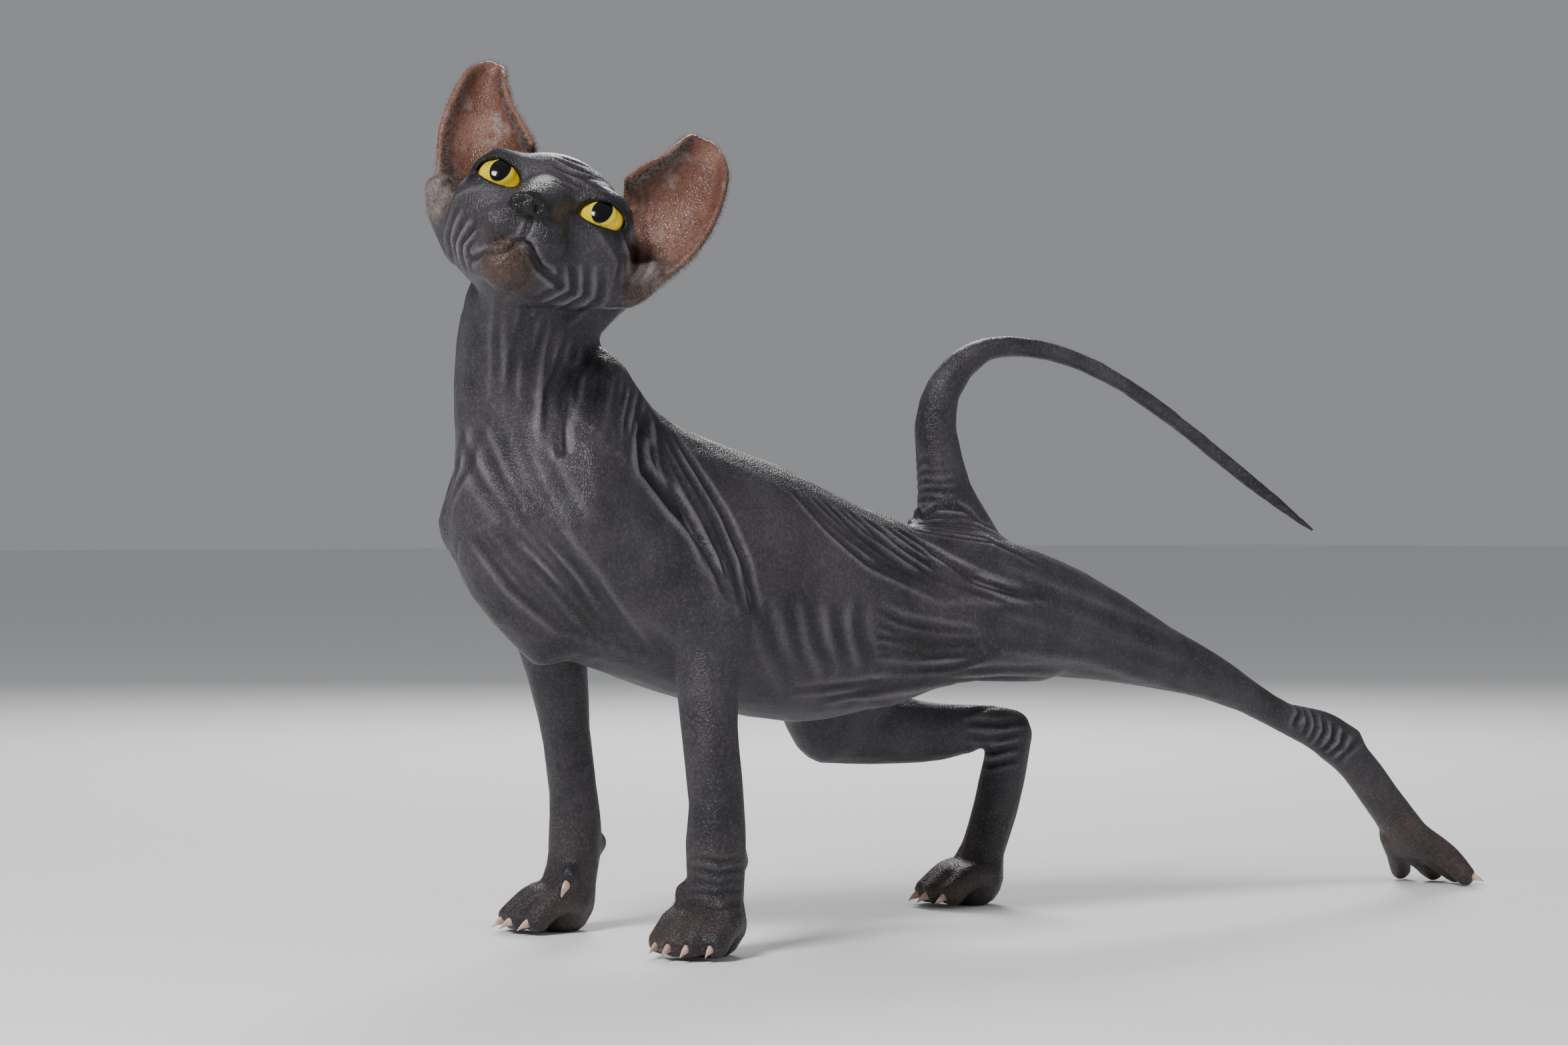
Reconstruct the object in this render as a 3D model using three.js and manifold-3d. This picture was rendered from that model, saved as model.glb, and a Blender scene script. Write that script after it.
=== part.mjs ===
// A hairless cat with curled ears, life size, standing with one hind leg stretched out behind.
// Millimetres, +Z up, +X towards the tail, +Y to the animal's right. The paws stand on z = 0.
// The flesh is one smooth blend of tubes and balls, meshed on a grid, thinned, and parted by thin cuts.
import * as THREE from "three";
import Module from "manifold-3d";

const wasm = await Module();
wasm.setup();

// Driving dimensions
const GAP = 0.3; // room between touching pieces
const EYE = { radius: 11.4, apart: 43, back: -1.2, up: 0.6 }; // eyeball, and where its centre lies
const HEAD = { at: [-62, -40, 302], pitch: 18, yaw: -6.5, roll: 22.7, facing: 37.5 };
const TORSO_WIDE = 47; // half width of the barrel
const EAR = { thick: 2.6, rows: 14, columns: 10 };
const CELL = { body: 2.1, head: 1.25 };
const TRIANGLES = { body: 6000, head: 4600 };
const SKIN = 0x4d494e;
const PAW_SKIN = 0x332b29;
const EAR_SKIN = 0x8a6458;
const IRIS = 0xd9b52a;
const CLAW = 0xc9a596;

const V = (p) => new THREE.Vector3(...p);
const radians = THREE.MathUtils.degToRad;
const mixed = (a, b, t) => a + (b - a) * t;

// Frames: x forward, y left, z up, placed in the part's own frame.
function frameOf(at, forward, up) {
  const f = forward.clone().normalize();
  const l = new THREE.Vector3().crossVectors(up, f).normalize();
  const u = new THREE.Vector3().crossVectors(f, l);
  return new THREE.Matrix4().makeBasis(f, l, u).setPosition(V(at));
}

// The head faces the viewer, raised by its pitch, turned by its yaw and leaning by its roll.
function headFrame({ at, pitch, yaw, roll, facing }) {
  const a = radians(facing);
  const toViewer = new THREE.Vector3(-Math.sin(a), -Math.cos(a), 0);
  const side = new THREE.Vector3(Math.cos(a), -Math.sin(a), 0).applyAxisAngle(toViewer, -radians(roll));
  const top = new THREE.Vector3(0, 0, 1).applyAxisAngle(toViewer, -radians(roll));
  const level = toViewer.clone().multiplyScalar(Math.cos(radians(yaw)));
  level.addScaledVector(side, Math.sin(radians(yaw)));
  const forward = level.clone().multiplyScalar(Math.cos(radians(pitch)));
  forward.addScaledVector(top, Math.sin(radians(pitch)));
  return frameOf(at, forward, top);
}

const WORLD = new THREE.Matrix4();
const head = headFrame(HEAD);

// A form is a closed shape given by a signed distance, and how softly it joins or cuts what is there.
function ball(frame, at, radii, { blend = 5, cut = false, turn = [0, 0, 0] } = {}) {
  const place = new THREE.Matrix4().makeRotationFromEuler(new THREE.Euler(...turn.map(radians)));
  place.setPosition(V(at)).premultiply(frame);
  const inverse = place.clone().invert().elements;
  const [a, b, c] = radii;
  const centre = new THREE.Vector3().setFromMatrixPosition(place);
  const distance = (x, y, z) => {
    const e = inverse;
    const p = e[0] * x + e[4] * y + e[8] * z + e[12];
    const q = e[1] * x + e[5] * y + e[9] * z + e[13];
    const r = e[2] * x + e[6] * y + e[10] * z + e[14];
    const k = Math.hypot(p / a, q / b, r / c);
    const slope = Math.hypot(p / (a * a), q / (b * b), r / (c * c));
    return slope < 1e-9 ? -Math.min(a, b, c) : (k * (k - 1)) / slope;
  };
  const box = new THREE.Box3().setFromCenterAndSize(centre, new THREE.Vector3().setScalar(2 * Math.max(a, b, c)));
  return { distance, blend, cut, box };
}

// A tube runs through stations [x, y, z, half width, half depth]; its width lies along across.
function tube(frame, stations, { blend = 5, cut = false, across = [0, 1, 0], cap = 0.7, steps = 3 } = {}) {
  const side = V(across).transformDirection(frame);
  const curve = new THREE.CatmullRomCurve3(stations.map((s) => V(s).applyMatrix4(frame)), false, "centripetal");
  const sizes = new THREE.CatmullRomCurve3(stations.map((s) => new THREE.Vector3(s[3], s[4] ?? s[3], 0)), false, "centripetal");
  const count = (stations.length - 1) * steps;
  const points = Array.from({ length: count + 1 }, (_, i) => curve.getPoint(i / count));
  const radii = Array.from({ length: count + 1 }, (_, i) => sizes.getPoint(i / count));
  const links = points.slice(1).map((b, i) => {
    const a = points[i];
    const along = b.clone().sub(a);
    const length = along.length();
    along.normalize();
    const s = side.clone().addScaledVector(along, -side.dot(along)).normalize();
    const n = new THREE.Vector3().crossVectors(along, s);
    return { a, along, length, s, n, from: radii[i], to: radii[i + 1] };
  });
  const distance = (x, y, z) => {
    let best = 1e9;
    for (const { a, along, length, s, n, from, to } of links) {
      const dx = x - a.x;
      const dy = y - a.y;
      const dz = z - a.z;
      const t = Math.min(length, Math.max(0, dx * along.x + dy * along.y + dz * along.z));
      const w = mixed(from.x, to.x, t / length);
      const d = mixed(from.y, to.y, t / length);
      const c = cap * 0.5 * (w + d);
      const ox = dx - along.x * t;
      const oy = dy - along.y * t;
      const oz = dz - along.z * t;
      const os = ox * s.x + oy * s.y + oz * s.z;
      const on = ox * n.x + oy * n.y + oz * n.z;
      const ot = ox * along.x + oy * along.y + oz * along.z;
      const k = Math.hypot(os / w, on / d, ot / c);
      const slope = Math.hypot(os / (w * w), on / (d * d), ot / (c * c));
      const value = slope < 1e-9 ? -Math.min(w, d) : (k * (k - 1)) / slope;
      if (value < best) best = value;
    }
    return best;
  };
  const widest = Math.max(...radii.map((r) => Math.max(r.x, r.y)));
  return { distance, blend, cut, box: new THREE.Box3().setFromPoints(points).expandByScalar(widest) };
}

const both = (make) => [make(1), make(-1)].flat();

// Torso, neck and tail
function trunkForms() {
  const w = TORSO_WIDE;
  return [
    tube(WORLD, [
      [-52, 0, 176, 33, 34], [-30, 0, 174, 42, 46], [-5, 0, 170, w - 1, 54], [25, 0, 160, w - 1, 54],
      [60, 0, 150, w, 54], [95, 0, 140, w, 50.5], [130, 0, 138, 42, 43], [160, 0, 141, 34, 31],
      [182, 0, 146, 24, 23],
    ]),
    tube(WORLD, [
      [-26, 1, 178, 34, 36], [-44, 1, 213, 30, 31], [-49, 1.5, 240, 25, 26.5], [-48, -1.5, 262, 25, 25],
      [-42, -8, 285, 22, 22],
    ], { blend: 14 }),
    tube(WORLD, NAPE, { blend: 8 }),
    tube(WORLD, THROAT, { blend: 10 }),
    // The breastbone's keel
    tube(WORLD, [[-66, 0, 182, 8], [-60, 0, 150, 9], [-36, 0, 126, 10]], { blend: 12 }),
  ];
}

const NAPE = [[-38, -1, 244, 16], [-34, -8, 258, 14], [-24, -22, 272, 13], [-20, -34, 284, 11]]; // skin drawn up to the left ear
const THROAT = [[-72, -32, 274, 14], [-64, -20, 259, 16], [-56, -8, 240, 18], [-50, -2, 220, 18]]; // loose skin under the jaw
const TAIL = [
  [182, 0, 172, 17, 18], [177, 0, 190, 12], [173.6, 0, 206, 10], [171.6, 0, 219, 9.2], [173.5, -2, 233.6, 8],
  [181, -6, 246, 6.9], [193, -10, 253.5, 5.3], [208.5, -15, 255, 4.5], [230.3, -22, 250.8, 4.1],
  [248, -29, 243, 3.9], [275, -40, 225, 3.7], [303, -54, 201, 3.4], [323, -64, 184, 2.7], [337, -73, 171, 1.6],
];

// Shoulder blade, upper arm, forearm and wrist of one front leg; s is 1 on the right side and -1 on the left.
function foreForms(s, forearm) {
  return [
    tube(WORLD, [
      [2, s * 17, 205, 9, 10], [-12, s * 19, 223, 10, 10], [-25, s * 20, 234, 12, 12], [-32, s * 28, 213, 15, 18],
      [-38, s * 34, 190, 18, 20], [-46, s * 34, 174, 18, 18],
    ], { blend: 12 }),
    tube(WORLD, [[-42, s * 33, 176, 19, 20], [-14, s * 40, 158, 17, 20], forearm[0]], { blend: 10 }),
    tube(WORLD, forearm, { blend: 6 }),
  ];
}
const LEFT_FOREARM = [
  [14, -46, 138, 15, 18], [10, -49, 116, 13, 14], [7, -54, 92, 11.4], [8, -57, 64, 11.2], [8, -57, 46, 12.2],
  [8, -57, 30, 11.6], [7, -57, 19, 11.5],
];
const RIGHT_FOREARM = [
  [-10, 42, 142, 15, 17], [1, 47, 110, 12, 13], [7, 50, 85, 10.4], [12, 52, 62, 10.2], [14, 53, 42, 11.2],
  [13, 54, 27, 11], [11, 55, 18, 11],
];

function hindForms() {
  return [
    // Left thigh and shank, stretched out behind
    tube(WORLD, [
      [158, -22, 142, 22, 28], [189, -24, 138, 23, 29], [227, -25, 131, 20, 24.5], [262, -26, 121, 14.5, 18.5],
      [285, -26, 114, 11.5, 14.5], [305, -26, 108, 10, 12.2], [330, -26, 99, 8, 9], [352, -26, 89, 6.6, 7],
      [374, -26, 80, 6.4, 7.2], [397, -26, 70.7, 7.5, 8],
    ], { blend: 12 }),
    // Heel bone and tendon above it
    tube(WORLD, [[372, -26, 85, 3, 4], [392, -26, 81, 4, 5], [408, -26, 72, 6, 6.5]], { blend: 5 }),
    tube(WORLD, [[397, -26, 70.7, 8, 8.2], [412, -27, 60, 8.8, 8.8], [427, -27, 45, 9.6, 8.6], [442, -27, 30, 11.5, 8.2], [450, -27, 21, 14, 7]], { blend: 5 }),
    // Right thigh, shank and metatarsus, folded under the body
    tube(WORLD, [[160, 20, 142, 22, 30], [150, 32, 118, 20, 30], [140, 40, 92, 17, 20], [143, 42, 84, 14, 16]], { blend: 12 }),
    tube(WORLD, [[143, 42, 84, 14, 16], [172, 41, 82, 13, 16], [205, 36, 80, 10, 13], [232, 33, 82, 7, 9.5], [246, 32, 80, 7.5, 8.5]], { blend: 8 }),
    tube(WORLD, [[246, 32, 80, 7.5, 9], [240, 32, 62, 8.5, 11.5], [235, 32, 45, 9, 11], [228, 32, 28, 9.5, 10], [223, 32, 17, 10, 10]], { blend: 5 }),
    // Rump and the folds of flank that reach each thigh
    ball(WORLD, [176, 0, 152], [24, 30, 22], { blend: 14 }),
    tube(WORLD, [[118, -30, 108, 8, 10], [160, -30, 116, 9, 8], [205, -29, 119, 8, 10]], { blend: 14 }),
    tube(WORLD, [[112, 32, 104, 8, 10], [135, 38, 96, 9, 8]], { blend: 12 }),
  ];
}

// A paw on its own frame, forward along x, with its sole on z = 0.
const TOES = [-1.5, -0.5, 0.5, 1.5];
const PAW = { spread: 7.6, long: 15, toe: 5.7, knuckle: 6.3 };
function pawForms(frame) {
  const toes = TOES.flatMap((t) => {
    const base = 8.5 - 2.4 * t * t;
    const y = t * PAW.spread;
    return [
      tube(frame, [[base - 8, y * 0.75, 12, 5.5, 6], [base + 2, y, 14.5, PAW.knuckle, PAW.knuckle], [base + 9, y * 1.08, 10.5, PAW.toe, PAW.toe - 0.3], [base + PAW.long - 1, y * 1.12, 6, PAW.toe, PAW.toe]], { blend: 1.6 }),
    ];
  });
  return [
    ball(frame, [-2, 0, 12], [12.5, 12.5, 12], { blend: 5 }),
    ball(frame, [0, 0, 4.5], [10, 11, 5.5], { blend: 2.5 }),
    ...toes,
  ];
}
const groundFrame = (x, y, heading) => frameOf([x, y, 0], V([-Math.cos(radians(heading)), Math.sin(radians(heading)), 0]), V([0, 0, 1]));
const PAWS = {
  fore_left: groundFrame(5, -57, -22),
  fore_right: groundFrame(9, 57, 12),
  hind_right: groundFrame(221, 33, 14),
};

// The stretched hind foot comes down on its toe tips, fanned out behind.
const REAR_TOES = TOES.map((t) => ({
  root: [446 + 2 * t, -27 - t * 5, 24],
  knuckle: [458 + 1.5 * t, -27 - t * 9.5, 15.5 - t * t * 0.6],
  tip: [474 - 4 * t * t, -27 - t * 14, 5.2],
}));
const rearToeForms = () => REAR_TOES.map(({ root, knuckle, tip }) =>
  tube(WORLD, [[...root, 5.2, 5.6], [...knuckle, 5.6, 5.8], [...tip, 4.9, 5.2]], { blend: 1.8, cap: 1 }));

const carpalPads = () => [
  ball(WORLD, [21, -56, 38], [4.5, 4, 5], { blend: 3 }),
  ball(WORLD, [26, 53, 37], [4.5, 4, 5], { blend: 3 }),
  ball(WORLD, [0, -46.5, 24], [4.5, 4.5, 6], { blend: 2 }),
  ball(WORLD, [5, 44.5, 24], [4.5, 4.5, 6], { blend: 2 }),
];

// Head: skull, muzzle, jaw and brows, then the cuts for eyes, nostrils and mouth
const eyeAt = (s) => [EYE.back, (s * EYE.apart) / 2, EYE.up];
function headForms() {
  return [
    ball(head, [-22, 0, 5], [27.5, 28.5, 24], { blend: 8 }),
    ball(head, [-5, 0, 8], [16, 21, 14], { blend: 8 }),
    tube(head, [[0, 0, 4, 12, 9], [13, 0, -1.5, 10, 8], [23, 0, -8.5, 8.5, 7], [28, 0, -12.5, 7.5, 6]], { blend: 5 }),
    ...both((s) => ball(head, [-9, s * 21, -12], [21, 16, 17], { blend: 8 })),
    ...both((s) => tube(head, [[-24, s * 20, -20, 11], [-2, s * 15, -30, 9.5], [13, s * 6, -36, 7]], { blend: 8 })),
    ball(head, [11, 0, -21], [16, 18, 14], { blend: 8 }),
    ball(head, [21, 0, -38.5], [9.3, 9.6, 9.2], { blend: 2 }),
    ...both((s) => ball(head, [22.5, s * 8.5, -23.5], [9.3, 9.6, 8.3], { blend: 4 })),
    ball(head, [31, 0, -14.6], [4.4, 8.6, 5], { blend: 1.6 }),
    ...both((s) => ball(head, [1, s * 19, 8.5], [8.5, 12, 5.5], { blend: 7, turn: [s * 12, 0, 0] })),
    ...both((s) => tube(head, [[9, s * 11, -9, 5], [5, s * 22, -11, 5.5], [-4, s * 31, -7, 6]], { blend: 5 })),
    // Skin between the cheek and the foot of each ear
    ...both((s) => tube(head, [[-20, s * 29, -20, 9], [-17, s * 41, -12, 7.5], [-14, s * 48, -4, 5.5]], { blend: 8 })),
    // Lids: a shell over each eyeball, opened by an almond
    ...both((s) => ball(head, eyeAt(s), Array(3).fill(EYE.radius + 2.3), { blend: 2.5 })),
    ...both((s) => ball(head, [13, s * 23.4, 1.8], [11, 11.6, 5.3], { blend: 0.8, cut: true, turn: [s * 7, 0, s * 14] })),
    ...both((s) => ball(head, eyeAt(s), Array(3).fill(EYE.radius + GAP + 0.1), { blend: 0, cut: true })),
    // Nostrils, the groove under the nose and the line of the mouth
    ...both((s) => ball(head, [34, s * 3.9, -15.5], [3.6, 1.7, 1.9], { blend: 0.8, cut: true, turn: [s * 30, 0, s * 20] })),
    tube(head, [[35.5, 0, -18.5, 0.8], [34, 0, -24, 0.9], [32.5, 0, -29.5, 1]], { blend: 1, cut: true }),
    ...both((s) => tube(head, [[31, 0, -30, 3.5, 0.9], [27, s * 8, -32, 4, 0.9], [18, s * 15, -35, 4.5, 0.9], [8, s * 20, -37.5, 3.5, 0.8]], { blend: 0.8, cut: true, across: [1, 0, 0] })),
  ];
}

// Samples the blend of the forms on a grid laid along a frame.
function sample(forms, frame, low, high, cell, offset) {
  const n = [0, 1, 2].map((i) => Math.ceil((high[i] - low[i]) / cell) + 1);
  const field = new Float32Array(n[0] * n[1] * n[2]).fill(1e3);
  const e = frame.elements;
  const inverse = frame.clone().invert();
  for (const form of forms) {
    const box = form.box.clone().expandByScalar(form.blend + 2 * cell + Math.abs(offset)).applyMatrix4(inverse);
    const from = n.map((m, i) => Math.max(0, Math.floor((box.min.getComponent(i) - low[i]) / cell)));
    const to = n.map((m, i) => Math.min(m - 1, Math.ceil((box.max.getComponent(i) - low[i]) / cell)));
    for (let k = from[2]; k <= to[2]; k++)
      for (let j = from[1]; j <= to[1]; j++)
        for (let i = from[0]; i <= to[0]; i++) {
          const p = low[0] + i * cell;
          const q = low[1] + j * cell;
          const r = low[2] + k * cell;
          const d = form.distance(
            e[0] * p + e[4] * q + e[8] * r + e[12],
            e[1] * p + e[5] * q + e[9] * r + e[13],
            e[2] * p + e[6] * q + e[10] * r + e[14],
          );
          const at = i + n[0] * (j + n[1] * k);
          const a = form.cut ? -field[at] : field[at];
          const h = form.blend > 0 ? Math.max(form.blend - Math.abs(a - d), 0) / form.blend : 0;
          const joined = Math.min(a, d) - 0.25 * h * h * form.blend;
          field[at] = form.cut ? -joined : joined;
        }
  }
  for (let at = 0; at < field.length; at++) field[at] -= offset;
  return { field, n };
}

// In a grid cell the corners inside must hang together, and so must the corners outside; where they
// don't, the surface would touch itself, so the corner nearest the surface changes side.
const CORNERS = [0, 1].flatMap((c) => [0, 1].flatMap((b) => [0, 1].map((a) => [a, b, c])));
const hangsTogether = (corners) => {
  const found = new Set(corners.slice(0, 1));
  for (const a of found) for (const b of corners) if ([1, 2, 4].includes(a ^ b)) found.add(b);
  return found.size === corners.length;
};
const SIMPLE = Array.from({ length: 256 }, (_, sign) => [1, 0].every((side) =>
  hangsTogether([0, 1, 2, 3, 4, 5, 6, 7].filter((m) => ((sign >> m) & 1) === side))));
function untangle(field, [nx, ny, nz]) {
  const steps = CORNERS.map(([a, b, c]) => a + nx * (b + ny * c));
  for (let pass = 0, changed = 1; changed && pass < 20; pass++) {
    changed = 0;
    for (let k = 0; k < nz - 1; k++)
      for (let j = 0; j < ny - 1; j++)
        for (let i = 0; i < nx - 1; i++) {
          const o = i + nx * (j + ny * k);
          if (field[o] > 50) continue;
          let sign = 0;
          for (let m = 0; m < 8; m++) if (field[o + steps[m]] < 0) sign |= 1 << m;
          if (SIMPLE[sign]) continue;
          const least = steps.reduce((m, step) => (Math.abs(field[o + step]) < Math.abs(field[o + m]) ? step : m));
          field[o + least] = field[o + least] < 0 ? 0.02 + 0.01 * pass : -0.02 - 0.01 * pass;
          changed++;
        }
  }
}

// One vertex in each grid cell that the surface crosses, and one quad about each edge that it crosses.
function netMesh(forms, frame, low, high, cell, offset = 0) {
  const { field, n } = sample(forms, frame, low, high, cell, offset);
  const [nx, ny, nz] = n;
  const index = (i, j, k) => i + nx * (j + ny * k);
  for (let k = 0; k < nz; k++)
    for (let j = 0; j < ny; j++)
      for (let i = 0; i < nx; i++)
        if (i === 0 || j === 0 || k === 0 || i === nx - 1 || j === ny - 1 || k === nz - 1)
          field[index(i, j, k)] = Math.max(field[index(i, j, k)], 9);
  untangle(field, n);
  const edges = CORNERS.flatMap((p, a) => CORNERS.map((q, b) => [a, b, p, q]))
    .filter(([a, b, p, q]) => a < b && Math.abs(p[0] - q[0]) + Math.abs(p[1] - q[1]) + Math.abs(p[2] - q[2]) === 1);
  const vertexOf = new Int32Array(field.length).fill(-1);
  const points = [];
  const values = new Array(8);
  for (let k = 0; k < nz - 1; k++)
    for (let j = 0; j < ny - 1; j++)
      for (let i = 0; i < nx - 1; i++) {
        let inside = 0;
        CORNERS.forEach(([a, b, c], m) => {
          values[m] = field[index(i + a, j + b, k + c)];
          if (values[m] < 0) inside++;
        });
        if (inside === 0 || inside === 8) continue;
        const sum = [0, 0, 0];
        let count = 0;
        for (const [a, b, p, q] of edges) {
          if (values[a] < 0 === values[b] < 0) continue;
          const t = values[a] / (values[a] - values[b]);
          for (let m = 0; m < 3; m++) sum[m] += mixed(p[m], q[m], t);
          count++;
        }
        vertexOf[index(i, j, k)] = points.length;
        points.push(new THREE.Vector3(
          low[0] + (i + sum[0] / count) * cell,
          low[1] + (j + sum[1] / count) * cell,
          low[2] + (k + sum[2] / count) * cell,
        ).applyMatrix4(frame));
      }
  const triangles = [];
  const quad = (a, b, c, d, turned) => {
    const [p, q, r, s] = turned ? [a, d, c, b] : [a, b, c, d];
    if (points[p].distanceTo(points[r]) < points[q].distanceTo(points[s])) triangles.push([p, q, r], [p, r, s]);
    else triangles.push([p, q, s], [q, r, s]);
  };
  for (let k = 0; k < nz - 1; k++)
    for (let j = 0; j < ny - 1; j++)
      for (let i = 0; i < nx - 1; i++) {
        const here = field[index(i, j, k)] < 0;
        const cellOf = (a, b, c) => vertexOf[index(i - a, j - b, k - c)];
        if (j && k && here !== field[index(i + 1, j, k)] < 0)
          quad(cellOf(0, 1, 1), cellOf(0, 0, 1), cellOf(0, 0, 0), cellOf(0, 1, 0), !here);
        if (i && k && here !== field[index(i, j + 1, k)] < 0)
          quad(cellOf(1, 0, 1), cellOf(1, 0, 0), cellOf(0, 0, 0), cellOf(0, 0, 1), !here);
        if (i && j && here !== field[index(i, j, k + 1)] < 0)
          quad(cellOf(1, 1, 0), cellOf(0, 1, 0), cellOf(0, 0, 0), cellOf(1, 0, 0), !here);
      }
  return { points, triangles };
}

// Thins a closed mesh by collapsing the edges that change its shape least.
// care(point) is how much a vertex's shape is worth against the others.
function thin({ points, triangles }, target, care = () => 1) {
  const count = points.length;
  const at = points.map((p) => p.toArray());
  const faces = triangles.map((t) => t.slice());
  const around = Array.from({ length: count }, () => new Set());
  faces.forEach((f, i) => f.forEach((v) => around[v].add(i)));
  const planeOf = ([a, b, c]) => {
    const [p, q, r] = [at[a], at[b], at[c]];
    const u = [q[0] - p[0], q[1] - p[1], q[2] - p[2]];
    const w = [r[0] - p[0], r[1] - p[1], r[2] - p[2]];
    const m = [u[1] * w[2] - u[2] * w[1], u[2] * w[0] - u[0] * w[2], u[0] * w[1] - u[1] * w[0]];
    const size = Math.hypot(...m) || 1e-12;
    const [x, y, z] = m.map((v) => v / size);
    return { x, y, z, d: -(x * p[0] + y * p[1] + z * p[2]), area: size / 2 };
  };
  const errors = Array.from({ length: count }, () => new Float64Array(10));
  for (const f of faces) {
    const { x, y, z, d, area } = planeOf(f);
    const terms = [x * x, x * y, x * z, x * d, y * y, y * z, y * d, z * z, z * d, d * d];
    for (const v of f) {
      const worth = area * care(points[v]);
      terms.forEach((t, m) => (errors[v][m] += t * worth));
    }
  }
  const errorAt = (q, x, y, z) => q[0] * x * x + 2 * q[1] * x * y + 2 * q[2] * x * z + 2 * q[3] * x + q[4] * y * y
    + 2 * q[5] * y * z + 2 * q[6] * y + q[7] * z * z + 2 * q[8] * z + q[9];
  const stamp = new Int32Array(count);
  const heap = [];
  const push = (item) => {
    let i = heap.push(item) - 1;
    while (i > 0) {
      const up = (i - 1) >> 1;
      if (heap[up].cost <= heap[i].cost) break;
      [heap[up], heap[i]] = [heap[i], heap[up]];
      i = up;
    }
  };
  const pop = () => {
    const first = heap[0];
    const last = heap.pop();
    if (heap.length) {
      heap[0] = last;
      for (let i = 0; ;) {
        let small = i;
        for (const next of [2 * i + 1, 2 * i + 2])
          if (next < heap.length && heap[next].cost < heap[small].cost) small = next;
        if (small === i) break;
        [heap[small], heap[i]] = [heap[i], heap[small]];
        i = small;
      }
    }
    return first;
  };
  const neighbours = (v) => {
    const found = new Set();
    for (const f of around[v]) for (const w of faces[f]) if (w !== v) found.add(w);
    return found;
  };
  const SLENDER = 0.003; // a small pull that keeps triangles from growing long
  const offer = (a, b) => {
    const q = errors[a].map((value, m) => value + errors[b][m]);
    const length = (at[a][0] - at[b][0]) ** 2 + (at[a][1] - at[b][1]) ** 2 + (at[a][2] - at[b][2]) ** 2;
    let best = { cost: Infinity };
    for (const t of [0, 0.5, 1]) {
      const p = at[a].map((value, m) => mixed(value, at[b][m], t));
      const cost = errorAt(q, ...p) + SLENDER * length * length;
      if (cost < best.cost) best = { cost, p };
    }
    push({ cost: best.cost, p: best.p, a, b, ofA: stamp[a], ofB: stamp[b] });
  };
  for (let v = 0; v < count; v++) for (const w of neighbours(v)) if (v < w) offer(v, w);
  let left = faces.length;
  while (left > target && heap.length) {
    const { p, a, b, ofA, ofB } = pop();
    if (stamp[a] !== ofA || stamp[b] !== ofB) continue;
    const nearA = neighbours(a);
    const shared = [...neighbours(b)].filter((v) => nearA.has(v));
    const doomed = [...around[a]].filter((f) => around[b].has(f));
    if (shared.length !== 2 || doomed.length !== 2) continue;
    const keeps = (v) => [...around[v]].every((f) => {
      if (doomed.includes(f)) return true;
      const before = planeOf(faces[f]);
      const held = at[v];
      at[v] = p;
      const after = planeOf(faces[f]);
      at[v] = held;
      if (before.area < 2e-3) return after.area > before.area;
      return before.x * after.x + before.y * after.y + before.z * after.z > 0.3 && after.area > 1e-3;
    });
    if (!keeps(a) || !keeps(b)) continue;
    at[a] = p;
    for (let m = 0; m < 10; m++) errors[a][m] += errors[b][m];
    for (const f of doomed) {
      faces[f].forEach((v) => around[v].delete(f));
      faces[f] = null;
      left--;
    }
    for (const f of around[b]) {
      faces[f] = faces[f].map((v) => (v === b ? a : v));
      around[a].add(f);
    }
    around[b].clear();
    stamp[b] = -1;
    stamp[a]++;
    for (const w of neighbours(a)) offer(a, w);
  }
  return { points: at.map((p) => V(p)), triangles: faces.filter(Boolean) };
}

// Solids from meshes, and geometries from solids
function solidOf({ points, triangles }) {
  const used = new Map();
  triangles.flat().forEach((v) => used.has(v) || used.set(v, used.size));
  const vertProperties = new Float32Array(used.size * 3);
  for (const [v, i] of used) vertProperties.set(points[v].toArray(), i * 3);
  const triVerts = new Uint32Array(triangles.flat().map((v) => used.get(v)));
  return new wasm.Manifold(new wasm.Mesh({ numProp: 3, vertProperties, triVerts }));
}

function geometryOf(solid) {
  const { vertProperties, triVerts } = solid.getMesh();
  const geometry = new THREE.BufferGeometry();
  geometry.setAttribute("position", new THREE.BufferAttribute(new Float32Array(vertProperties), 3));
  geometry.setIndex(new THREE.BufferAttribute(new Uint32Array(triVerts), 1));
  geometry.computeVertexNormals();
  return geometry;
}

// Takes out the slivers that a cut leaves.
function polish(solid, keep = 0.93) {
  const { vertProperties, triVerts } = solid.getMesh();
  const points = [];
  const triangles = [];
  for (let i = 0; i < vertProperties.length; i += 3) points.push(new THREE.Vector3().fromArray(vertProperties, i));
  for (let i = 0; i < triVerts.length; i += 3) triangles.push([...triVerts.subarray(i, i + 3)]);
  return solidOf(thin({ points, triangles }, triangles.length * keep));
}

const largest = (solid) => solid.decompose().sort((a, b) => b.volume() - a.volume())[0];

// A solid through rings of points; each ring has as many points, and the ends close on their middles.
function loft(rings) {
  const width = rings[0].length;
  const points = rings.flat();
  const triangles = [];
  for (let r = 0; r < rings.length - 1; r++)
    for (let i = 0; i < width; i++) {
      const [a, b] = [r * width + i, r * width + ((i + 1) % width)];
      triangles.push([a, b, a + width], [b, b + width, a + width]);
    }
  for (const [ring, first] of [[rings[0], 0], [rings.at(-1), (rings.length - 1) * width]]) {
    const middle = ring.reduce((sum, p) => sum.add(p), new THREE.Vector3()).divideScalar(width);
    const tip = points.push(middle) - 1;
    for (let i = 0; i < width; i++) {
      const [a, b] = [first + i, first + ((i + 1) % width)];
      triangles.push(first === 0 ? [b, a, tip] : [a, b, tip]);
    }
  }
  const made = solidOf({ points, triangles });
  return made.volume() > 0 ? made : solidOf({ points, triangles: triangles.map(([a, b, c]) => [a, c, b]) });
}

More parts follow.
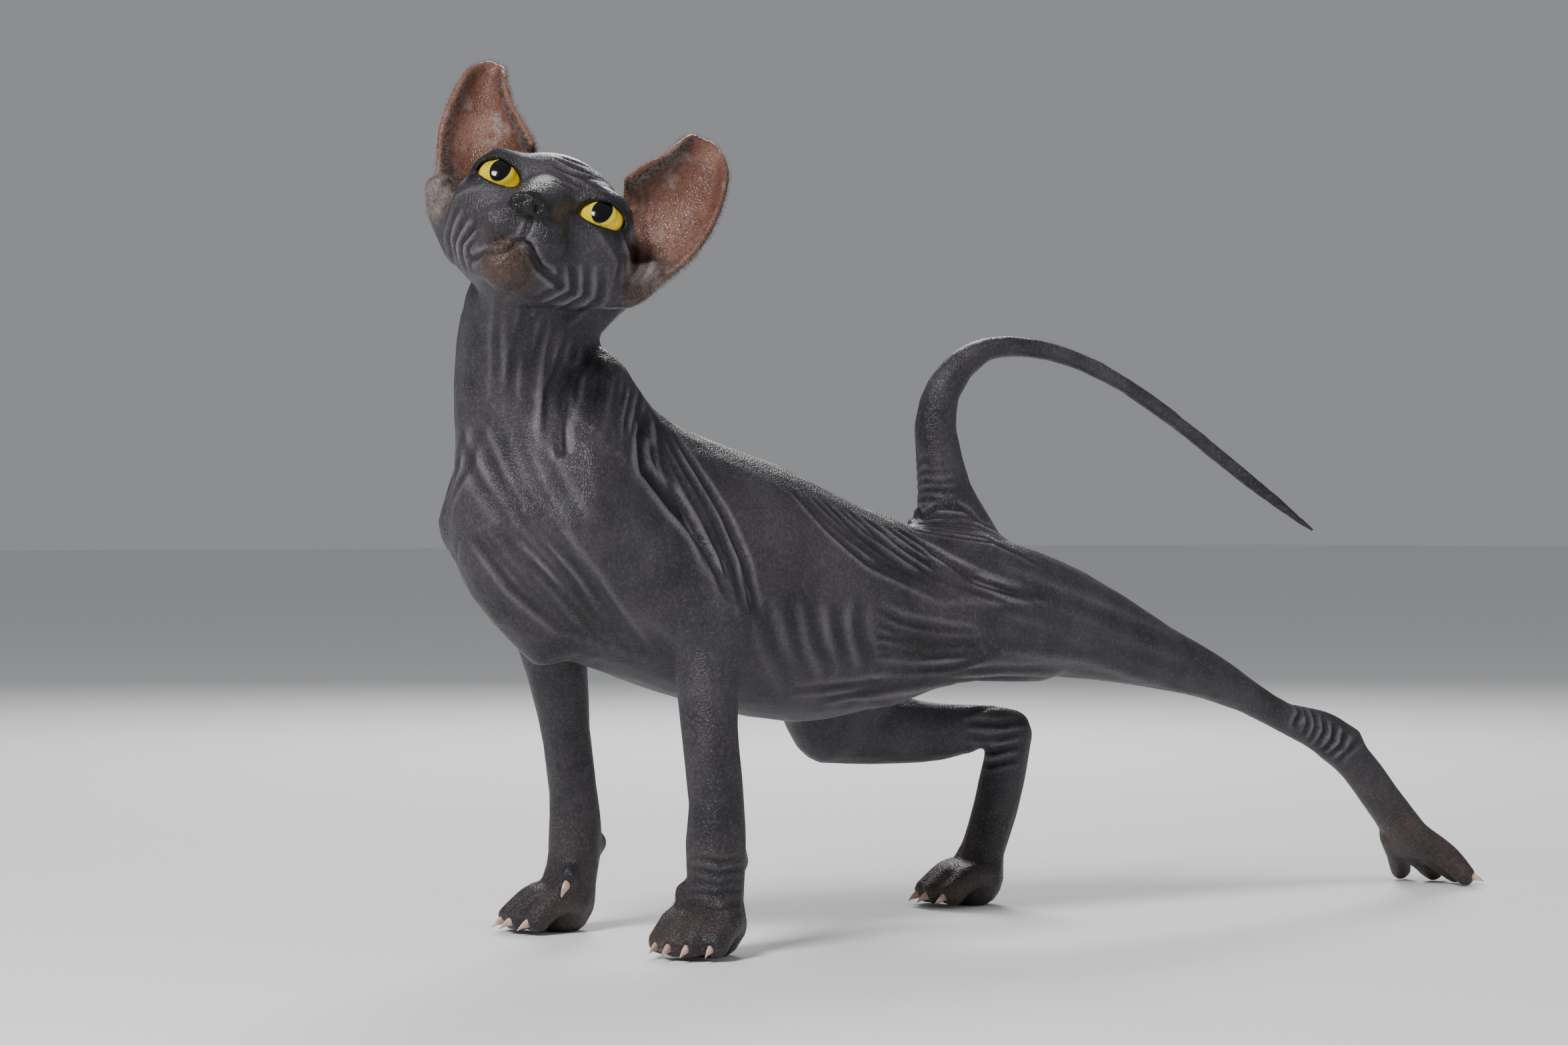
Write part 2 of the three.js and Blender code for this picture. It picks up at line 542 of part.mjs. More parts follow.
// An ear is a cupped leaf of even thickness between a front edge and a back edge, with its tip curled back.
const EAR_EDGES = {
  // The right ear stands up; the left one is flared and longer at its tip.
  right: {
    front: [[-8, 19.5, 25], [-12, 28, 33], [-16, 37, 41], [-21, 45.5, 52], [-29, 50, 60]],
    back: [[-14, 45, -13], [-13, 52, 6], [-14, 57, 18], [-18, 60, 38], [-23, 60, 52], [-31, 56, 61]],
  },
  left: {
    front: [[-8, 22, 27], [-10, 25, 34], [-14, 29.5, 43], [-20, 32, 54], [-29, 34, 64]],
    back: [[-14, 47, -11], [-12, 54, -1], [-12, 59, 12], [-13, 60, 24], [-16, 59, 35], [-20, 56, 48], [-25, 51, 57], [-32, 42, 65]],
  },
};
function earForm(s, edges) {
  const curve = (list) => new THREE.CatmullRomCurve3(list.map(([f, l, u]) => new THREE.Vector3(f, s * l, u)));
  const front = curve(edges.front);
  const back = curve(edges.back);
  const points = [];
  for (let r = 0; r <= EAR.rows; r++) {
    const v = r / EAR.rows;
    const a = front.getPoint(v);
    const b = back.getPoint(v);
    const middle = a.clone().add(b).multiplyScalar(0.5);
    const half = b.clone().sub(a).multiplyScalar(0.5);
    const along = front.getTangent(v).add(back.getTangent(v)).normalize();
    const rear = new THREE.Vector3().crossVectors(half, along).normalize().multiplyScalar(-s);
    const deep = 14 * (1 - v) ** 0.55 + 0.6;
    for (let c = 0; c <= EAR.columns; c++) {
      const turn = mixed(-Math.PI / 2, Math.PI / 2, c / EAR.columns);
      points.push(middle.clone().addScaledVector(half, Math.sin(turn)).addScaledVector(rear, Math.cos(turn) * deep).applyMatrix4(head));
    }
  }
  const triangles = [];
  for (let r = 0; r < EAR.rows; r++)
    for (let c = 0; c < EAR.columns; c++) {
      const o = r * (EAR.columns + 1) + c;
      const [p, q, m, n] = [points[o], points[o + 1], points[o + EAR.columns + 1], points[o + EAR.columns + 2]];
      for (const corners of [[p, q, m], [q, n, m]]) {
        const triangle = new THREE.Triangle(...corners);
        const ball = new THREE.Sphere().setFromPoints(corners);
        triangles.push({ triangle, ball });
      }
    }
  const here = new THREE.Vector3();
  const found = new THREE.Vector3();
  const distance = (x, y, z) => {
    here.set(x, y, z);
    let best = 40;
    for (const { triangle, ball } of triangles) {
      if (here.distanceTo(ball.center) - ball.radius > best) continue;
      triangle.closestPointToPoint(here, found);
      best = Math.min(best, found.distanceTo(here));
    }
    return best - EAR.thick / 2;
  };
  return { distance, blend: 0, cut: false, box: new THREE.Box3().setFromPoints(points).expandByScalar(EAR.thick) };
}
function earSolid(form, room, triangles) {
  const low = form.box.min.clone().subScalar(2).toArray();
  const high = form.box.max.clone().addScalar(2).toArray();
  return solidOf(thin(netMesh([form], WORLD, low, high, 1.1, room), triangles));
}

// A claw is a bent cone, flattened at its sides.
const CLAW_SIZE = { long: 8, wide: 1.7, deep: 2.6, sides: 7, steps: 5, droop: 38 };
function clawSolid(frame, room = 0) {
  const { long, wide, deep, sides, steps, droop } = CLAW_SIZE;
  const rings = [];
  for (let r = 0; r <= steps; r++) {
    const t = r / steps;
    const turn = radians(droop) * t;
    const size = Math.max(0.12, 1 - t ** 1.5);
    const end = r === 0 ? -room : r === steps ? room : 0;
    const centre = new THREE.Vector3(end - 3 + long * t * Math.cos(turn * 0.5), 0, -long * t * Math.sin(turn * 0.5));
    rings.push(Array.from({ length: sides }, (_, i) => {
      const a = (2 * Math.PI * i) / sides;
      return new THREE.Vector3(0, (wide * size + room) * Math.cos(a), (deep * size + room) * Math.sin(a)).add(centre).applyMatrix4(frame);
    }));
  }
  return loft(rings);
}
function clawFrames() {
  const frames = [];
  for (const [paw, frame] of Object.entries(PAWS))
    TOES.forEach((t, i) => {
      const base = 8.5 - 2.4 * t * t;
      const at = new THREE.Vector3(base + PAW.long + 3, t * PAW.spread * 1.13, 5.6).applyMatrix4(frame);
      const forward = new THREE.Vector3(1, t * 0.08, -0.12).transformDirection(frame);
      frames.push([`claw_${paw}_${i + 1}`, frameOf(at.toArray(), forward, V([0, 0, 1]))]);
    });
  REAR_TOES.forEach(({ knuckle, tip }, i) => {
    const forward = V(tip).sub(V(knuckle)).setZ(0).normalize();
    const at = V(tip).addScaledVector(forward, 4.4);
    frames.push([`claw_hind_left_${i + 1}`, frameOf(at.toArray(), forward, V([0, 0, 1]))]);
  });
  const dew = (at, forward) => frameOf(at, V(forward), V([0, 0, 1]));
  frames.push(["dewclaw_fore_left", dew([-4, -44.5, 20], [-0.75, 0.2, -0.55])]);
  frames.push(["dewclaw_fore_right", dew([1, 42.5, 20], [-0.75, -0.2, -0.55])]);
  return frames;
}

// Thin cuts through the body: [where, which way the limb runs, how wide the cut reaches]
const CUTS = [
  { at: [-44, 0, 224], along: [-0.25, 0, 1], wide: 112 }, // neck from torso
  { at: [-50, -8, 262], along: [0, 0, 1], wide: 94 }, // head from neck
  { at: [9.5, -50.5, 109], along: [0.1, 0.15, -1], wide: 46 }, // left foreleg
  { at: [8, -57, 33], along: [0, 0, -1], wide: 40 },
  { at: [1, 47.5, 108], along: [0.2, 0.1, -1], wide: 46 }, // right foreleg
  { at: [13, 54, 30], along: [0, 0, -1], wide: 40 },
  { at: [219, -25, 132], along: [1, 0, -0.25], wide: 70 }, // left thigh
  { at: [282, -26, 115], along: [1, 0, -0.35], wide: 50 }, // left shank
  { at: [409, -27, 63], along: [1, 0, -1.1], wide: 36 }, // left hind paw
  { at: [178, 40, 81], along: [1, 0, 0], wide: 44 }, // right shank
  { at: [241, 32, 61], along: [-0.15, 0, -1], wide: 44 }, // right hind paw
  { at: [176.5, 0, 191], along: [-0.3, 0, 1], wide: 44 }, // tail, in lengths
  { at: [172.5, -1, 226], along: [0.05, 0, 1], wide: 30 },
  { at: [193, -10, 253.5], along: [1, -0.3, 0.3], wide: 24 },
  { at: [248, -29, 243], along: [1, -0.4, -0.6], wide: 20 },
  { at: [303, -54, 201], along: [1, -0.5, -0.9], wide: 16 },
];
function cutSolid({ at, along, wide }) {
  const slab = new THREE.BoxGeometry(GAP, wide, wide).toNonIndexed();
  slab.deleteAttribute("normal");
  slab.deleteAttribute("uv");
  const up = Math.abs(V(along).normalize().z) > 0.9 ? V([1, 0, 0]) : V([0, 0, 1]);
  slab.applyMatrix4(frameOf(at, V(along), up));
  const position = slab.getAttribute("position");
  const seen = new Map();
  const points = [];
  const corner = (i) => {
    const p = new THREE.Vector3().fromBufferAttribute(position, i);
    const key = p.toArray().map((v) => v.toFixed(4)).join();
    if (!seen.has(key)) seen.set(key, points.push(p) - 1);
    return seen.get(key);
  };
  const triangles = [];
  for (let i = 0; i < position.count; i += 3) triangles.push([corner(i), corner(i + 1), corner(i + 2)]);
  return solidOf({ points, triangles });
}

// Names for the pieces of the cut body, each by a point well inside it
const NAMES = {
  torso: [60, 0, 150],
  neck: [-46, 0, 240],
  foreleg_left: [8, -55, 80],
  forepaw_left: [6, -57, 15],
  foreleg_right: [8, 50, 80],
  forepaw_right: [9, 56, 15],
  thigh_left: [245, -25, 126],
  shank_left: [340, -26, 94],
  hindpaw_left: [432, -27, 40],
  shank_right: [215, 35, 81],
  hindpaw_right: [230, 32, 34],
  tail_1: [173, 0, 208],
  tail_2: [179, -5, 243],
  tail_3: [220, -18, 253.5],
  tail_4: [275, -40, 225],
  tail_5: [320, -62, 187],
};

function nearest(pieces, point) {
  const target = V(point);
  const far = (solid) => {
    const { vertProperties } = solid.getMesh();
    let best = Infinity;
    for (let i = 0; i < vertProperties.length; i += 3)
      best = Math.min(best, (vertProperties[i] - target.x) ** 2 + (vertProperties[i + 1] - target.y) ** 2 + (vertProperties[i + 2] - target.z) ** 2);
    return best;
  };
  return pieces.map((solid) => [far(solid), solid]).sort((a, b) => a[0] - b[0])[0][1];
}

const group = new THREE.Group();
function addNode(name, solid, color, roughness = 0.6) {
  const mesh = new THREE.Mesh(geometryOf(solid), new THREE.MeshStandardMaterial({ color, roughness, metalness: 0 }));
  mesh.name = name;
  group.add(mesh);
}

// Body
const bodyForms = [
  ...trunkForms(),
  ...foreForms(-1, LEFT_FOREARM),
  ...foreForms(1, RIGHT_FOREARM),
  ...hindForms(),
  tube(WORLD, TAIL, { blend: 12 }),
  ...Object.values(PAWS).flatMap(pawForms),
  ...rearToeForms(),
  ...carpalPads(),
];
const BODY_LOW = [-90, -90, -8];
const BODY_HIGH = [496, 90, 300];
const NECK_TOP = 262;
const onPaw = (p) => (p.z < 32 ? 3 : 1) * (p.x > 380 ? 1.5 : 1);
const floored = (solid) => solid.trimByPlane([0, 0, 1], 0);
const bodyMesh = thin(netMesh(bodyForms, WORLD, BODY_LOW, BODY_HIGH, CELL.body), TRIANGLES.body, onPaw);
let body = floored(solidOf(bodyMesh));
for (const cut of CUTS) body = body.subtract(cutSolid(cut));
for (const [, frame] of clawFrames()) body = body.subtract(clawSolid(frame, GAP));
const pieces = body.decompose();
for (const [name, point] of Object.entries(NAMES)) {
  const paw = name.includes("paw");
  addNode(name, polish(nearest(pieces, point)), paw ? PAW_SKIN : SKIN, 0.6);
}

// Head, eyes and ears
const neckTop = tube(WORLD, [[-49, 1.5, 240, 25, 26.5], [-48, -1.5, 262, 25, 25], [-42, -8, 285, 22, 22]], { blend: 10 });
const nape = tube(WORLD, NAPE, { blend: 8 });
const throat = tube(WORLD, THROAT, { blend: 10 });
const skullForms = [...headForms().slice(0, 2), neckTop, nape, throat, ...headForms().slice(2)];
const HEAD_LOW = [-62, -56, -66];
const HEAD_HIGH = [44, 56, 44];
const toHead = head.clone().invert();
const face = (p) => {
  const [f, l, u] = p.clone().applyMatrix4(toHead).toArray();
  const socket = Math.hypot(f - EYE.back, Math.abs(l) - EYE.apart / 2, u - EYE.up) < EYE.radius + 1;
  return socket ? 60 : f > -2 ? 6 : 1;
};
const above = (solid, room) => solid.trimByPlane([0, 0, 1], NECK_TOP + room);
let headSolid = above(solidOf(thin(netMesh(skullForms, head, HEAD_LOW, HEAD_HIGH, CELL.head), TRIANGLES.head, face)), GAP / 2);
for (const [name, s] of [["right", -1], ["left", 1]]) {
  const form = earForm(s, EAR_EDGES[name]);
  headSolid = headSolid.subtract(earSolid(form, 2 * GAP, 600));
  addNode(`ear_${name}`, earSolid(form, 0, 800), EAR_SKIN, 0.6);
  const eye = new THREE.SphereGeometry(EYE.radius, 16, 12);
  eye.applyMatrix4(new THREE.Matrix4().makeTranslation(...eyeAt(s)).premultiply(head));
  const mesh = new THREE.Mesh(eye, new THREE.MeshStandardMaterial({ color: IRIS, roughness: 0.08 }));
  mesh.name = `eye_${name}`;
  group.add(mesh);
}
addNode("head", polish(largest(headSolid)), SKIN, 0.55);

// Claws
for (const [name, frame] of clawFrames()) addNode(name, clawSolid(frame).trimByPlane([0, 0, 1], 0.1), CLAW, 0.35);

// The origin goes to the middle of the footprint, on the floor.
const bounds = new THREE.Box3().setFromObject(group);
const middle = bounds.getCenter(new THREE.Vector3());
for (const mesh of group.children) mesh.geometry.translate(-middle.x, -middle.y, 0);
console.log("moved by", (-middle.x).toFixed(3), (-middle.y).toFixed(3), "lowest", bounds.min.z.toFixed(4));

export default group;
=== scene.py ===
# %% [markdown]
# A life-size model of a hairless cat with curled ears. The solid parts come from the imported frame.
# This script gives them one continuous skin with folds, wet eyes, horn claws and a sparse down,
# and sets up a pale studio with the camera low in front of the cat's left shoulder.

import math

import bpy
import numpy as np
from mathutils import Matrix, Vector
from mathutils.bvhtree import BVHTree


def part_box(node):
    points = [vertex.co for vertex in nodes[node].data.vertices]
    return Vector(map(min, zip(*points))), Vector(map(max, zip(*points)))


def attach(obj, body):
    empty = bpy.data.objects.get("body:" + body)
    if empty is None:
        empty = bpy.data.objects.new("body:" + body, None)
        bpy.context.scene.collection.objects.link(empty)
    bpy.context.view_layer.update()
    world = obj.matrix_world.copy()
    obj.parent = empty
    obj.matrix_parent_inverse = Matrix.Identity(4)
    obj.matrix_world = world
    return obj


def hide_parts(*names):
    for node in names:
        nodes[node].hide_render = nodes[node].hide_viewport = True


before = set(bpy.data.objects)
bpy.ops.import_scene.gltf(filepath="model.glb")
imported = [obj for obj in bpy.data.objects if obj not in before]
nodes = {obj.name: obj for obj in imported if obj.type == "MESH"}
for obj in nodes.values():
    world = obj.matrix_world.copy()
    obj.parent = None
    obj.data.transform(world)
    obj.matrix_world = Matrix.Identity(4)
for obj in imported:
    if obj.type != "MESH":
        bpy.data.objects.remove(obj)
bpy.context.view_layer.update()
bpy.ops.object.select_all(action="DESELECT")
MM = 0.001
rng = np.random.default_rng(7)
print("nodes", len(nodes))

# %% [markdown]
# Every wrinkle is placed by where it is seen, so the camera comes first. It stands 1.5 m away,
# at the height of the cat's chest, and looks across the left shoulder. A point seen at a column
# and a row of the picture lies somewhere on one ray, and the ray's first hit on the skin is its
# place.

# %% Camera and its rays
CAMERA_AT = Vector((-1.07588, -1.26662, 0.176))
AZIMUTH = math.radians(37.5)
LENS = 85
SENSOR = 36
PICTURE = (2352, 1568)
ahead = Vector((math.sin(AZIMUTH), math.cos(AZIMUTH), 0))
rightward = Vector((math.cos(AZIMUTH), -math.sin(AZIMUTH), 0))
upward = Vector((0, 0, 1))
FOCAL = LENS / SENSOR * PICTURE[0]


def ray_to(column, row):
    side = (column - PICTURE[0] / 2) / FOCAL
    rise = (PICTURE[1] / 2 - row) / FOCAL
    return (ahead + rightward * side + upward * rise).normalized()


print("camera at", [round(v, 3) for v in CAMERA_AT], "m")


# %% [markdown]
# The head has axes of its own: forward out of the nose, left, and up through the crown. It is
# turned to the viewer, raised and tilted, so all that is done to the face is written on these axes.

# %% Head axes
PITCH, YAW, ROLL = math.radians(18), math.radians(-6.5), math.radians(22.7)
toward = -ahead
tilted_side = rightward * math.cos(ROLL) - upward * math.sin(ROLL)
tilted_up = upward * math.cos(ROLL) + rightward * math.sin(ROLL)
level = toward * math.cos(YAW) + tilted_side * math.sin(YAW)
head_forward = (level * math.cos(PITCH) + tilted_up * math.sin(PITCH)).normalized()
head_left = tilted_up.cross(head_forward).normalized()
head_up = head_forward.cross(head_left)


def middle_of(node):
    low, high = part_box(node)
    return (Vector(low) + Vector(high)) / 2


eye_middle = (middle_of("eye_left") + middle_of("eye_right")) / 2
EYE_BACK = 1.2
EYE_UP = 0.6
head_at = eye_middle + head_forward * (EYE_BACK * MM) - head_up * (EYE_UP * MM)
axes = np.array([head_forward, head_left, head_up])


def in_head(points):
    return (points - np.array(head_at)) @ axes.T / MM


print("head at", [round(v / MM, 1) for v in head_at])

# %% [markdown]
# The real animal has one skin, with no seams at the neck or the knees. The flesh nodes are copied,
# merged, made a hair fatter so that the thin cuts close, and melted together on a fine voxel grid.
# A voxel remesh was chosen over bridging each cut, because it also gives even quads to sculpt.

# %% One skin from the flesh nodes
VOXEL = 0.86 * MM
flesh = [n for n in nodes if not n.startswith("eye") and "claw" not in n]


def copy_of(node, name):
    mesh = nodes[node].data.copy()
    made = bpy.data.objects.new(name, mesh)
    bpy.context.scene.collection.objects.link(made)
    return made


def select_only(*objects):
    bpy.ops.object.select_all(action="DESELECT")
    for o in objects:
        o.select_set(True)
    bpy.context.view_layer.objects.active = objects[0]


def merge_doubles(o, distance=0.00002):
    select_only(o)
    bpy.ops.object.mode_set(mode="EDIT")
    bpy.ops.mesh.select_all(action="SELECT")
    bpy.ops.mesh.remove_doubles(threshold=distance)
    bpy.ops.object.mode_set(mode="OBJECT")


def modified(o, kind, **settings):
    select_only(o)
    modifier = o.modifiers.new(kind.title(), kind)
    for key, value in settings.items():
        setattr(modifier, key, value)
    bpy.ops.object.modifier_apply(modifier=modifier.name)


copies = [copy_of(n, "skin_" + n) for n in flesh]
for o in copies:
    merge_doubles(o)
    modified(o, "DISPLACE", strength=0.3 * MM, mid_level=0)
select_only(*copies)
bpy.ops.object.join()
skin = bpy.context.active_object
skin.name = "skin"
modified(skin, "REMESH", mode="VOXEL", voxel_size=VOXEL)
print("skin", len(skin.data.vertices), "vertices")

# %% [markdown]
# The solids are faceted. Repeated averaging rounds the facets off: each vertex moves towards the
# middle of its neighbours and then a little away again, so that the form does not shrink. The face,
# the ears and the paws move only a twelfth as far in each round, so they keep their edges.


# %% Smooth it
def points_of(o):
    flat = np.empty(len(o.data.vertices) * 3)
    o.data.vertices.foreach_get("co", flat)
    return flat.reshape(-1, 3)


def normals_of(o):
    flat = np.empty(len(o.data.vertices) * 3)
    o.data.vertex_normals.foreach_get("vector", flat)
    return flat.reshape(-1, 3)


def put_points(o, points):
    o.data.vertices.foreach_set("co", points.ravel())
    o.data.update()


def edges_of(o):
    flat = np.empty(len(o.data.edges) * 2, dtype=np.int64)
    o.data.edges.foreach_get("vertices", flat)
    return flat.reshape(-1, 2)


def averaged(values, edges, count):
    a, b = edges.T
    total = np.empty_like(values)
    for axis in range(values.shape[1]):
        column = np.bincount(a, values[b, axis], count) + np.bincount(b, values[a, axis], count)
        total[:, axis] = column
    share = np.bincount(a, minlength=count) + np.bincount(b, minlength=count)
    return total / np.maximum(share, 1)[:, None]


def fade(value, start, end):
    t = np.clip((value - start) / (end - start), 0, 1)
    return t * t * (3 - 2 * t)


edges = edges_of(skin)
points = points_of(skin)
count = len(points)
local = in_head(points)
HEAD_CORE = (-8, 0, 0)
HEAD_REACH = (62, 84)
PAW_REACH = (0.028, 0.05)
HELD = 0.92
near_head = 1 - fade(np.linalg.norm(local - np.array(HEAD_CORE), axis=1), *HEAD_REACH)
near_floor = 1 - fade(points[:, 2], *PAW_REACH)
freedom = 1 - np.maximum(near_head, near_floor) * HELD
ROUNDS = 46
LAST_ROUNDS = 3
for _ in range(ROUNDS):
    points += (averaged(points, edges, count) - points) * (0.62 * freedom)[:, None]
    points -= (averaged(points, edges, count) - points) * (0.60 * freedom)[:, None]
for _ in range(LAST_ROUNDS):
    points += (averaged(points, edges, count) - points) * 0.5
put_points(skin, points)
print("smoothed")

# %% [markdown]
# Skin folds. Each family is given by its first and last fold, seen from the camera, and by how many
# folds lie between. A fold is a groove with a soft ridge on both sides. Its line is dropped on the
# skin along the camera's rays, and most families have their mirror image on the far side of the
# body or of the head. No fold may push the skin below the floor.

# %% Fold families
FOLD_STRENGTH = 1.5
FOLD_STEPS = 26
FOLD_WAVER = 4
FEWEST_HITS = 6
# first fold, last fold or None for a single one, how many, half width in mm, depth in mm, and
# what it is mirrored about
FOLDS = {
    "behind shoulder": (
        [(975, 625), (985, 700), (1020, 760), (1060, 830), (1085, 900)],
        [(1000, 640), (1040, 700), (1085, 770), (1120, 850), (1135, 930)], 7, 1.7, 0.75, "body",
    ),
    "shoulder pit": (
        [(966, 618), (959, 662), (964, 703), (996, 742), (1039, 796), (1076, 862)],
        None, 1, 3.0, 1.7, "body",
    ),
    "throat": (
        [(752, 440), (748, 500), (745, 560), (742, 610)],
        [(866, 512), (848, 570), (838, 620), (842, 660)], 8, 1.8, 0.4, "body",
    ),
    "neck hollow": (
        [(832, 535), (818, 590), (816, 645), (836, 690)],
        [(868, 548), (852, 592), (842, 640), (848, 684)], 4, 2.0, 1.0, "body",
    ),
    "shoulder blade": (
        [(876, 522), (868, 570), (872, 625)],
        [(958, 592), (950, 640), (946, 695)], 9, 1.5, 0.5, "body",
    ),
    "brisket": (
        [(705, 800), (770, 880), (850, 950)],
        [(800, 760), (890, 860), (965, 985)], 8, 1.9, 0.5, "body",
    ),
    "upper chest": (
        [(690, 640), (720, 720), (760, 790)],
        [(800, 640), (830, 720), (880, 800)], 5, 2.4, 0.3, "body",
    ),
    "back": (
        [(1184, 736), (1240, 790), (1307, 846), (1425, 902)],
        [(1364, 803), (1402, 829), (1487, 874), (1571, 896)], 11, 1.6, 0.7, "body",
    ),
    "tail root": (
        [(1380, 772), (1402, 758), (1436, 760), (1462, 774)],
        [(1371, 796), (1408, 802), (1487, 814), (1562, 848)], 8, 1.1, 0.42, "body",
    ),
    "tail stem": (
        [(1372, 748), (1400, 752), (1436, 750)],
        [(1370, 690), (1392, 698), (1432, 692)], 5, 1.2, 0.25, "body",
    ),
    "flank": (
        [(1318, 908), (1363, 930), (1419, 947), (1464, 953)],
        [(1310, 1010), (1374, 1004), (1431, 997), (1480, 990)], 8, 1.5, 0.6, "body",
    ),
    "belly edge": (
        [(1190, 1038), (1280, 1028), (1370, 1012), (1480, 1006), (1590, 1008)],
        [(1230, 1052), (1300, 1040), (1390, 1024), (1490, 1016), (1580, 1016)], 2, 2.0, 0.6, "body",
    ),
    "belly": (
        [(1140, 905), (1160, 970), (1190, 1030)],
        [(1290, 900), (1290, 950), (1300, 1000)], 5, 3.0, 0.3, "body",
    ),
    "thigh": (
        [(1500, 960), (1640, 985), (1780, 1030)],
        [(1500, 860), (1640, 920), (1780, 975)], 5, 2.6, 0.3, None,
    ),
    "left hock": (
        [(1935, 1046), (1950, 1072), (1946, 1094)],
        [(2036, 1106), (2026, 1128), (2004, 1142)], 7, 1.5, 0.6, None,
    ),
    "left wrist": (
        [(1035, 1285), (1078, 1297), (1118, 1285)],
        [(1030, 1350), (1078, 1362), (1120, 1350)], 5, 1.2, 0.25, None,
    ),
    "right hock": (
        [(1440, 1072), (1485, 1062), (1540, 1064)],
        [(1452, 1142), (1490, 1150), (1528, 1138)], 5, 1.4, 0.4, None,
    ),
    "crown": (
        [(832, 232), (880, 250), (925, 272)],
        [(822, 268), (868, 290), (912, 306)], 7, 1.1, 0.3, None,
    ),
    "temple": (
        [(928, 262), (946, 300), (952, 345)],
        [(966, 268), (970, 310), (966, 352)], 4, 1.3, 0.4, "head",
    ),
    "cheek": (
        [(905, 345), (932, 392), (925, 435)],
        [(966, 332), (970, 392), (955, 440)], 5, 1.5, 0.45, "head",
    ),
    "jowl": (
        [(838, 400), (842, 430), (806, 448)],
        [(905, 395), (896, 452), (852, 476)], 4, 1.6, 0.5, "head",
    ),
    "philtrum": (
        [(797, 325), (790, 345), (782, 362)], None, 1, 1.2, 1.1, None,
    ),
    "right lip": (
        [(784, 360), (760, 374), (728, 380), (703, 390)], None, 1, 1.4, 1.2, None,
    ),
    "left lip": (
        [(780, 360), (794, 370), (809, 400), (844, 431)], None, 1, 1.4, 1.2, None,
    ),
}


def tree_of(o):
    corners = [v.co for v in o.data.vertices]
    return BVHTree.FromPolygons(corners, [p.vertices[:] for p in o.data.polygons])


skin_tree = tree_of(skin)


def seen_at(column, row):
    return skin_tree.ray_cast(CAMERA_AT, ray_to(column, row))[0]


def spread(line, many):
    line = np.array(line, dtype=float)
    steps = np.linspace(0, len(line) - 1, many)
    columns = [np.interp(steps, range(len(line)), line[:, axis]) for axis in (0, 1)]
    return np.array(columns).T


def mirrored(hit, about):
    if about == "body":
        twin = Vector((hit.x, -hit.y, hit.z))
    else:
        side = (hit - head_at).dot(head_left)
        twin = hit - head_left * (2 * side)
    return skin_tree.find_nearest(twin)[0]


def fold_lines():
    lines = []
    for name, (first, last, many, width, depth, about) in FOLDS.items():
        a, b = spread(first, FOLD_STEPS), spread(last or first, FOLD_STEPS)
        for i in range(many):
            t = i / max(many - 1, 1)
            swing = np.sin(np.linspace(0, 5, FOLD_STEPS) + rng.uniform(0, 6))[:, None]
            waver = FOLD_WAVER * swing * rng.uniform(-1, 1, 2)
            hits = [seen_at(*p) for p in a + (b - a) * t + waver * (many > 1)]
            hits = [h for h in hits if h is not None]
            if len(hits) < FEWEST_HITS:
                print("fold missed the skin:", name)
                continue
            strength = FOLD_STRENGTH * depth * rng.uniform(0.55, 1.15)
            lines.append((np.array(hits), width, strength))
            if about:
                lines.append((np.array([mirrored(h, about) for h in hits]), width, strength))
    return lines


lines = fold_lines()
print("folds", len(lines))


DEEPEST = 3.6
HIGHEST = 1.8
RIDGE_HEIGHT = 0.45
RIDGE_AWAY = 1.9
RIDGE_WIDE = 0.8


def fold_height(points):
    height = np.zeros(len(points))
    for line, width, depth in lines:
        reach = 4 * width * MM
        low, high = line.min(0) - reach, line.max(0) + reach
        near = np.flatnonzero(((points > low) & (points < high)).all(1))
        a, b = line[:-1], line[1:]
        along = b - a
        length = np.maximum((along ** 2).sum(1), 1e-12)
        gap = points[near][:, None] - a
        t = np.clip((gap * along).sum(2) / length, 0, 1)
        away = np.linalg.norm(gap - t[..., None] * along, axis=2)
        nearest = away.argmin(1)
        rows = range(len(near))
        place = (nearest + t[rows, nearest]) / len(a)
        taper = np.sqrt(np.clip(4 * place * (1 - place), 0, 1))
        x = away[rows, nearest] / (width * MM)
        profile = RIDGE_HEIGHT * np.exp(-((x - RIDGE_AWAY) / RIDGE_WIDE) ** 2) - np.exp(-(x ** 2))
        height[near] += depth * taper * profile
    return np.clip(height, -DEEPEST, HIGHEST)


points = points_of(skin)
normals = normals_of(skin)
height = fold_height(points)
points += normals * (height * MM)[:, None]
points[:, 2] = np.maximum(points[:, 2], 0)
put_points(skin, points)
print("fold depth", round(float(height.min()), 2), "to", round(float(height.max()), 2), "mm")

# %% [markdown]
# A skin of even tiny quads is heavy. Collapsing its flattest edges keeps the folds and brings the
# piece under the size that the export keeps whole. The colour masks are worked out after it.

# %% Thin the skin
LIMIT = 192000
modified(skin, "TRIANGULATE")
faces_now = len(skin.data.polygons)
if faces_now > LIMIT:
    modified(skin, "DECIMATE", ratio=LIMIT / faces_now)
select_only(skin)
bpy.ops.object.shade_smooth()
print("skin faces", faces_now, "->", len(skin.data.polygons))

# %% [markdown]
# Colour varies by place: brown on paws and chin, warm thin skin inside the ears, near black round
# the eyes and on the nose, painted shade in the grooves and a paler painted highlight on the
# ridges. Each place is a mask, a number from 0 to 1 on every vertex, which the material reads by
# name. Masks were chosen over painted pictures because they are worked out on the finished mesh
# and move with it when the form changes.

# %% Masks
points = points_of(skin)
normals = normals_of(skin)
local = in_head(points)
facing = normals @ axes.T


def mask(name, values):
    attribute = skin.data.attributes.new(name, "FLOAT", "POINT")
    attribute.data.foreach_set("value", np.clip(values, 0, 1).astype(np.float32))
    return np.clip(values, 0, 1)


def blob(centre, radii, soft=0.35):
    away = np.linalg.norm((local - np.array(centre)) / np.array(radii), axis=1)
    return 1 - fade(away, 1 - soft, 1 + soft)


